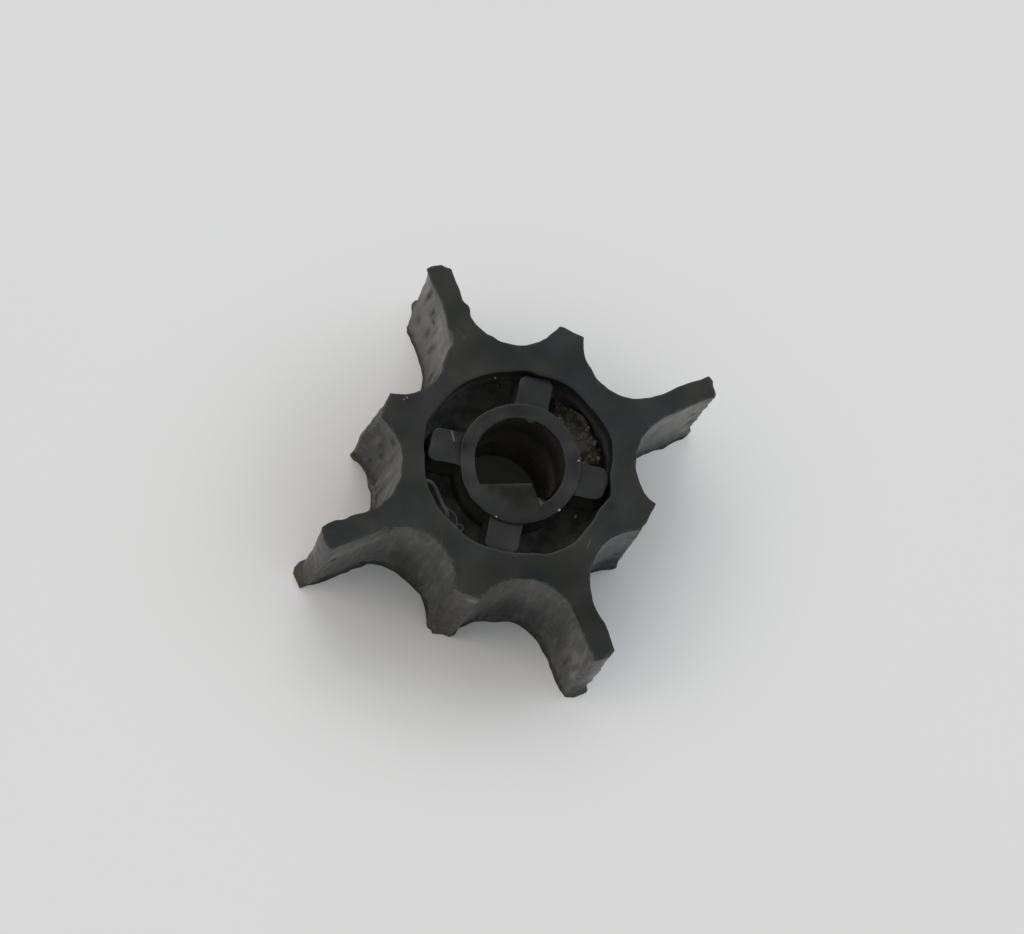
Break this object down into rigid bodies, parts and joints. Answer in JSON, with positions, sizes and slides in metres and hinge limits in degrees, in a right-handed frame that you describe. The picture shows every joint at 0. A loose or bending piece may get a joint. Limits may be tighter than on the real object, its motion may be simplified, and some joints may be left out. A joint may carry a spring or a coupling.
{
  "type": "flexible pump impeller",
  "caption": "Small rubber star with straight vanes, some worn and some torn to stubs, moulded round a lugged hub insert with a D-shaped shaft bore.",
  "frame": {"origin": "on the shaft axis at mid width", "axes": "+Z along the shaft axis towards the face where the drive flat begins, +X along the first long vane"},
  "size_m": [0.0398, 0.0396, 0.016],
  "materials": {
    "moulded_rubber": "matt moulded rubber, scuffed on the vanes",
    "insert_plastic": "matt moulded thermoplastic"
  },
  "bodies": {
    "root": {"rubber_body": "moulded_rubber", "hub_insert": "insert_plastic"}
  },
  "joints": []
}
